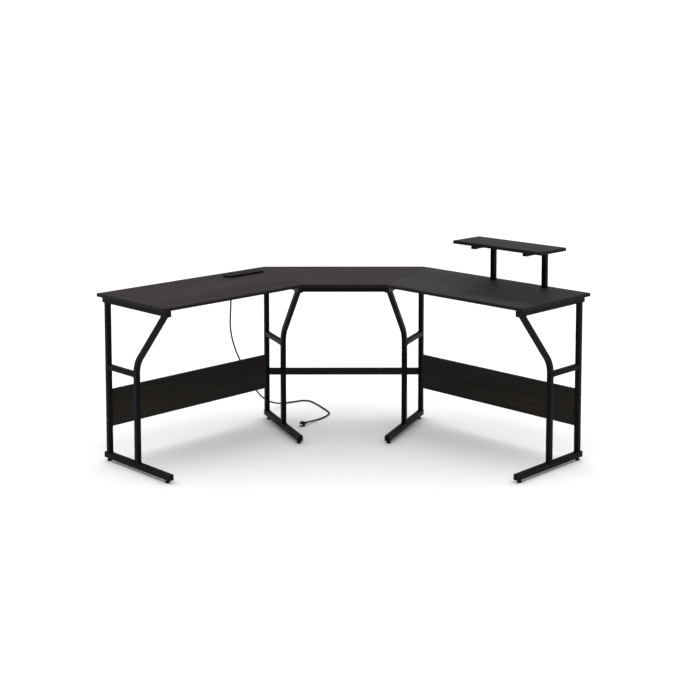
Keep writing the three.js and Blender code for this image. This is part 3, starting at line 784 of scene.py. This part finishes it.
def add_frame(name):
    """A leg frame: five tubes, their welds, caps and bolts, and two levelling feet."""
    place = FRAMES[name]
    parts = ("foot_bar", "top_bar", "rear_tube", "front_tube", "cross_tube", "front_end_cap",
             "rear_end_cap")
    node = {part: f"{name}_{part}" for part in parts}
    boxes = {part: local_box(node[part], place) for part in parts}

    def steel(part):
        return node[part] + "_coated", [STEEL], "root", "steel", place, [node[part]]

    for part, axis in (("foot_bar", "x"), ("rear_tube", "z"), ("cross_tube", "x"), ("top_bar", "x")):
        low, high = boxes[part]
        if part == "top_bar":
            low, high = low + PLUG_WALL * X, high - PLUG_WALL * X
        shape = Shape()
        tube_along(shape, low, high, axis)
        shape.finish(*steel(part))
    shape = Shape()
    head, head_length, width = bent_tube(shape, node["front_tube"], place)
    shape.finish(*steel("front_tube"))

    # welds, at every place where a tube meets another
    shape = Shape()
    rear_low, rear_high = boxes["rear_tube"]
    rear = middle(rear_low, rear_high)
    front_low, _ = boxes["front_tube"]
    for z in (rear_low.z, rear_high.z):
        weld(shape, loop_at(Vector((rear.x, 0, z)), width, width, X, Y))
    weld(shape, loop_at(Vector((front_low.x + width / 2, 0, front_low.z)), width, width, X, Y))
    weld(shape, loop_at(head, head_length, width, X, Y))
    cross_low, cross_high = boxes["cross_tube"]
    for x in (cross_low.x, cross_high.x):
        weld(shape, loop_at(Vector((x, 0, middle(cross_low, cross_high).z)), width, width, Z, Y))
    shape.finish(f"{name}_welds", [STEEL], slot="steel", place=place)

    # end caps: the foot bar's own, and small plugs in the ends of the top bar
    for end, facing in BAR_ENDS:
        part = f"{end}_end_cap"
        shape = Shape()
        end_plate(shape, *boxes[part], facing)
        shape.finish(node[part] + "_moulded", [CAP_PLASTIC], slot="cap_plastic", place=place,
                     replaces=[node[part]])
    for end, facing in BAR_ENDS:
        shape = Shape()
        end_plate(shape, *boxes["top_bar"], facing, PLUG_WALL)
        shape.finish(f"{name}_top_bar_{end}_plug", [CAP_PLASTIC], slot="cap_plastic", place=place)

    # bolts that hold the panel or the rear bar to the upright, and screws up through the top bar
    shape = Shape()
    facing = 1 if name in ("left_outer", "right_inner") else -1
    for z in PANEL_BOLT_HEIGHTS:
        at = Matrix.Translation((rear.x, -facing * width / 2, z))
        bolt(shape, at @ Matrix.Rotation(facing * QUARTER, 4, "X"))
    screws_below(shape, *boxes["top_bar"], TOP_SCREWS)
    shape.finish(f"{name}_bolts", [BLACK_ZINC], slot="steel", place=place)

    for end in ("rear", "front"):
        add_foot(f"{name}_{end}_levelling_foot")


def add_foot(node):
    """A levelling foot: moulded pad with finger grips, hexagon collar and a threaded stem."""
    low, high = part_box(node)
    centre = middle(low, high)
    place = Matrix.Translation((centre.x, centre.y, 0))
    pad = (high.x - low.x) / 2
    grips, grip_depth, segments = 16, 0.6 * MM, 80
    rows = [  # radius, height, share of the grips' depth, wear
        (0.0004, 0.0, 0, 0), (pad - 0.0018, 0.0, 0, 0.2), (pad - 0.0008, 0.0003, 0.2, 0.5),
        (pad - 0.0002, 0.0010, 0.6, 0.5), (pad, 0.0018, 1, 0.3), (pad, 0.0052, 1, 0.3),
        (pad - 0.0003, 0.0062, 0.8, 0.5), (pad - 0.0010, 0.0070, 0.4, 0.6),
        (pad - 0.0020, 0.0076, 0.1, 0.3), (0.0068, 0.0080, 0, 0), (0.0004, 0.0080, 0, 0),
    ]
    rings = []
    for radius, z, share, _ in rows:
        ring = []
        for i in range(segments):
            a = 2 * math.pi * i / segments
            r = radius - max(0.0, math.cos(grips * a)) ** 3 * grip_depth * share
            ring.append(Vector((r * math.cos(a), r * math.sin(a), z)))
        rings.append(ring)
    shape = Shape()
    shape.loft(rings, [row[3] for row in rows])
    shape.finish(node + "_pad", [FOOT_PLASTIC], node, "foot_plastic", place, [node])

    shape = Shape()
    turned(shape, [(0.0003, 0.0078), (0.0066, 0.0078, 0, 1), (0.0069, 0.0083, 0.4, 1),
                   (0.0069, 0.0121, 0.4, 1), (0.0064, 0.0126, 0.7, 0.9), (0.0003, 0.0126)])
    pitch, stem, z = 1.25 * MM, 4 * MM, 0.0124
    thread = [(0.0003, z)]
    while z < high.z - 1.5 * pitch:
        thread += [(stem - 0.0007, z), (stem, z + pitch * 0.4, 0.5), (stem, z + pitch * 0.55, 0.5)]
        z += pitch
    top = high.z - 0.0003
    thread += [(stem - 0.0008, z), (stem - 0.0012, top), (0.0003, top)]
    turned(shape, thread, segments=20)
    shape.finish(node + "_stem", [BLACK_ZINC], node, "foot_plastic", place)


for frame_name in FRAMES:
    add_frame(frame_name)


def add_rail():
    """The square rail under the corner board, its ends cut to the inner frames' bars."""
    outline = hull(local_points("corner_front_rail", DESK))
    low, high = local_box("corner_front_rail", DESK)
    radii = [TUBE_RADIUS if abs(run.x) > 0.99 else END_RADIUS for run in edge_runs(outline)]
    shape = Shape()
    prism(shape, outline, low.z, high.z, radii, radii)
    shape.finish("front_rail_coated", [STEEL], slot="steel", replaces=["corner_front_rail"])


def add_shelf_post(post):
    place = WINGS["right"]
    shape = Shape()
    tube_along(shape, *local_box(post, place), "z")
    shape.finish(post + "_coated", [STEEL], slot="steel", place=place, replaces=[post])


def add_shelf_arm(arm):
    """A shelf arm, in a place whose x runs forwards along it, with its plug, weld and screws."""
    wing = WINGS["right"]
    place = wing @ spot(middle(*local_box(arm, wing)).x, 0, 0, -QUARTER)
    low, high = local_box(arm, place)
    size = high - low
    shape = Shape()
    tube_along(shape, low, high - PLUG_WALL * X, "x")
    shape.finish(arm + "_coated", [STEEL], slot="steel", place=place, replaces=[arm])
    shape = Shape()
    end_plate(shape, low, high, 1, PLUG_WALL)
    shape.finish(arm + "_plug", [CAP_PLASTIC], slot="cap_plastic", place=place)
    shape = Shape()
    weld(shape, loop_at(Vector((low.x, 0, middle(low, high).z)), size.z, size.y, Z, Y))
    shape.finish(arm + "_weld", [STEEL], slot="steel", place=place)
    shape = Shape()
    screws_below(shape, low, high, ARM_SCREWS)
    shape.finish(arm + "_screws", [BLACK_ZINC], slot="steel", place=place)


def add_strip():
    """The mains strip, as its CAD nodes with softened edges."""
    place = WINGS["left"]
    refined("power_strip_face", "mains_strip_face", STRIP_PLASTIC, "strip_plastic", 0.5 * MM, place,
            wear=0.25)
    refined("power_strip_housing", "mains_strip_housing", STRIP_PLASTIC, "strip_plastic", 0.4 * MM, place)
    for part in ("outlet_1", "outlet_2", "outlet_3", "usb_module"):
        refined(f"power_strip_{part}", f"mains_strip_{part}", SOCKET_PLASTIC, "socket_plastic", 0.3 * MM,
                place, angle=50)


add_rail()
for which in ("inner", "outer"):
    add_shelf_post(f"shelf_{which}_post")
    add_shelf_arm(f"shelf_{which}_arm")
add_strip()


# ------------------------------------------------------------------ floor and light
FLOOR_REACH, FLOOR_DROP = 60.0, 0.2 * MM
FLOOR_COLOUR = (0.86, 0.86, 0.86, 1)
WORLD_LIGHT, WORLD_SEEN = 0.10, 1.05  # the white world's strength as a light, and as the camera sees it
SUNS = (  # name, strength, angle of its soft disc, and its tilt about x and about y, in degrees
    ("overhead", 3.9, 112, -6, 0),
    ("left", 0.25, 90, 0, 45),
    ("right", 0.25, 90, 0, -45),
)


def add_floor():
    data = bpy.data.meshes.new("floor")
    corners = [(x, y, 0) for x, y in rectangle(2 * FLOOR_REACH, 2 * FLOOR_REACH)]
    data.from_pydata(corners, [], [(0, 1, 2, 3)])
    floor = bpy.data.objects.new("floor", data)
    floor.location.z = -FLOOR_DROP
    scene.collection.objects.link(floor)
    g = Graph("pale_floor")
    g.set(Base_Color=FLOOR_COLOUR, Roughness=0.9, Specular_IOR_Level=0.1)
    data.materials.append(g.material)


def add_world():
    """A plain white world, which the camera sees brighter than it lights the desk."""
    world = bpy.data.worlds.new("studio")
    world.use_nodes = True
    scene.world = world
    tree = world.node_tree
    background = tree.nodes["Background"]
    path = tree.nodes.new("ShaderNodeLightPath")
    level = tree.nodes.new("ShaderNodeMapRange")
    level.inputs["To Min"].default_value = WORLD_LIGHT
    level.inputs["To Max"].default_value = WORLD_SEEN
    tree.links.new(path.outputs["Is Camera Ray"], level.inputs["Value"])
    tree.links.new(level.outputs["Result"], background.inputs["Strength"])
    background.inputs["Color"].default_value = (1, 1, 1, 1)


def add_suns():
    for name, strength, angle, tilt_x, tilt_y in SUNS:
        data = bpy.data.lights.new(name, "SUN")
        data.energy = strength
        data.angle = math.radians(angle)
        light = bpy.data.objects.new(name, data)
        light.rotation_euler = (math.radians(tilt_x), math.radians(tilt_y), 0)
        scene.collection.objects.link(light)


add_floor()
add_world()
add_suns()
